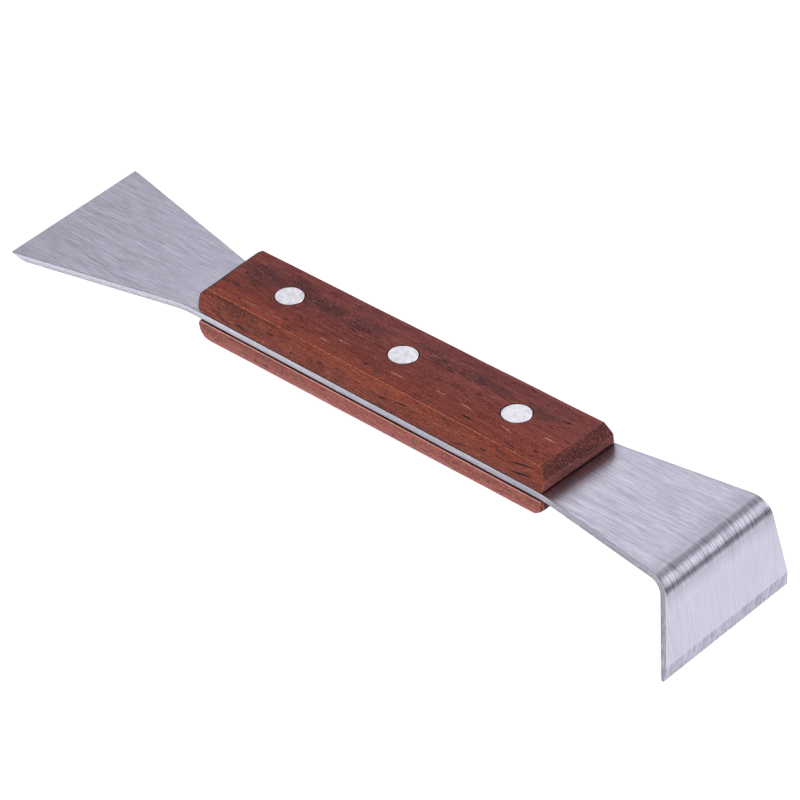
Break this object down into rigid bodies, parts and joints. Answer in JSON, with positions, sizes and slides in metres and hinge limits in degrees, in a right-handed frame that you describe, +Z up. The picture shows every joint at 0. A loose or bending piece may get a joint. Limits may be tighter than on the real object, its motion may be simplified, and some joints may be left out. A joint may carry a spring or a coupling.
{
  "type": "hive tool",
  "caption": "Flat flared scraper blade bent down into a hook at the other end, held between riveted wooden handle scales, for prying beehive boxes and lifting frames.",
  "frame": {"origin": "centre of the bounding box's bottom face, on the surface that the tool rests on", "axes": "+X along the tool towards the hook, +Y across it, +Z up; the tool lies on the heel of its lower scale and the tip of its hook, so the blade rises 6.6 degrees towards the hook"},
  "size_m": [0.245, 0.049, 0.0328],
  "materials": {
    "brushed_steel": "brushed along the blade",
    "rosewood": "sanded and oiled, grain along the handle",
    "rivet_aluminium": "sanded flush, matte"
  },
  "bodies": {
    "root": {"blade": "brushed_steel", "upper_scale": "rosewood", "lower_scale": "rosewood", "rivet_pin_scraper_end": "rivet_aluminium", "rivet_pin_middle": "rivet_aluminium", "rivet_pin_hook_end": "rivet_aluminium", "rivet_tube_scraper_end": "rivet_aluminium", "rivet_tube_middle": "rivet_aluminium", "rivet_tube_hook_end": "rivet_aluminium"}
  },
  "joints": []
}
